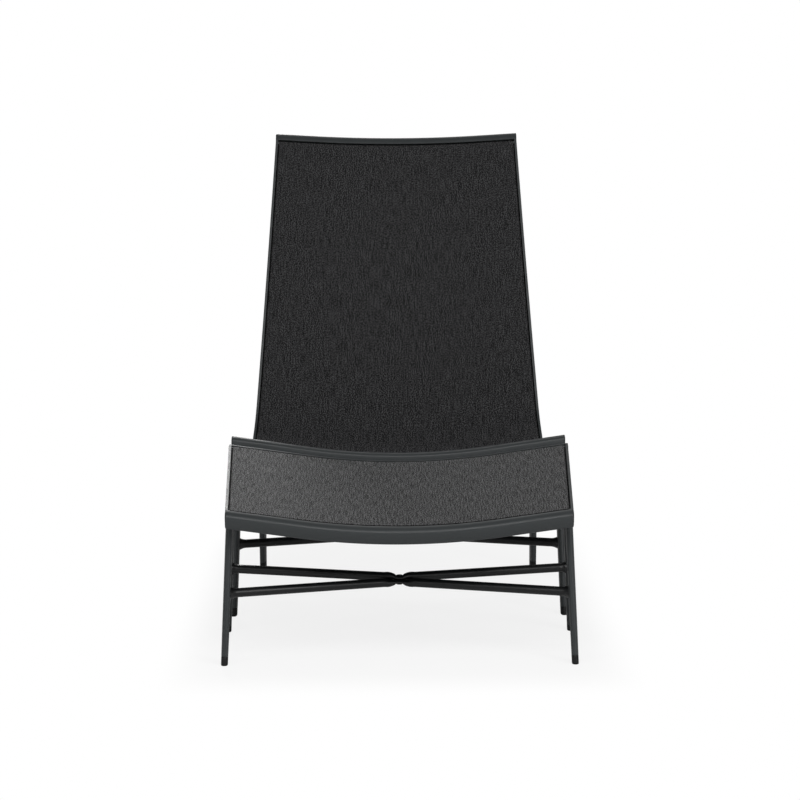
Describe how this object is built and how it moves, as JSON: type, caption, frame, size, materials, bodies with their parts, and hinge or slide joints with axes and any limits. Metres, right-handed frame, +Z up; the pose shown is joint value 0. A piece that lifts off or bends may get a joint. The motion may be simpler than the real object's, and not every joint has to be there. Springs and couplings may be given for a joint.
{
  "type": "sling patio chair with footstool",
  "caption": "Reclined armless lounge chair and matching footstool, with slings stretched in grooved metal rails over crossed stretchers.",
  "frame": {"origin": "on the floor, in the middle of the box around chair and footstool", "axes": "+X across, +Y from the footstool's front towards the chair's back, +Z up"},
  "size_m": [0.7548, 1.4992, 1.0531],
  "materials": {
    "frame": "charcoal powder coat, satin",
    "stretcher": "charcoal powder coat, satin",
    "cap": "moulded, matte charcoal",
    "glide": "moulded, matte black",
    "sling": "coated mesh weave, charcoal with lighter and darker threads",
    "spline": "extruded, matte black",
    "bolt": "black coated steel"
  },
  "bodies": {
    "root": {"chair_side_rail_left": "frame", "chair_spline_left": "spline", "chair_side_rail_right": "frame", "chair_spline_right": "spline", "chair_front_rail": "frame", "chair_spline_front": "spline", "chair_front_cap_left": "cap", "chair_front_cap_right": "cap", "chair_top_rail": "frame", "chair_spline_top": "spline", "chair_top_cap_left": "cap", "chair_top_cap_right": "cap", "chair_sling": "sling", "chair_leg_front_left": "frame", "chair_glide_front_left": "glide", "chair_leg_front_right": "frame", "chair_glide_front_right": "glide", "chair_leg_rear_left": "frame", "chair_glide_rear_left": "glide", "chair_leg_rear_right": "frame", "chair_glide_rear_right": "glide", "chair_stretcher_front": "stretcher", "chair_stretcher_rear": "stretcher", "chair_crossing_bolt": "bolt", "chair_crossing_nut": "bolt", "chair_spreader_bar": "frame", "footstool_side_rail_left": "frame", "footstool_spline_left": "spline", "footstool_side_rail_right": "frame", "footstool_spline_right": "spline", "footstool_front_rail": "frame", "footstool_spline_front": "spline", "footstool_front_cap_left": "cap", "footstool_front_cap_right": "cap", "footstool_rear_rail": "frame", "footstool_spline_rear": "spline", "footstool_rear_cap_left": "cap", "footstool_rear_cap_right": "cap", "footstool_sling": "sling", "footstool_leg_front_left": "frame", "footstool_glide_front_left": "glide", "footstool_leg_front_right": "frame", "footstool_glide_front_right": "glide", "footstool_leg_rear_left": "frame", "footstool_glide_rear_left": "glide", "footstool_leg_rear_right": "frame", "footstool_glide_rear_right": "glide", "footstool_stretcher_front": "stretcher", "footstool_stretcher_rear": "stretcher", "footstool_crossing_bolt": "bolt", "footstool_crossing_nut": "bolt"}
  },
  "joints": []
}
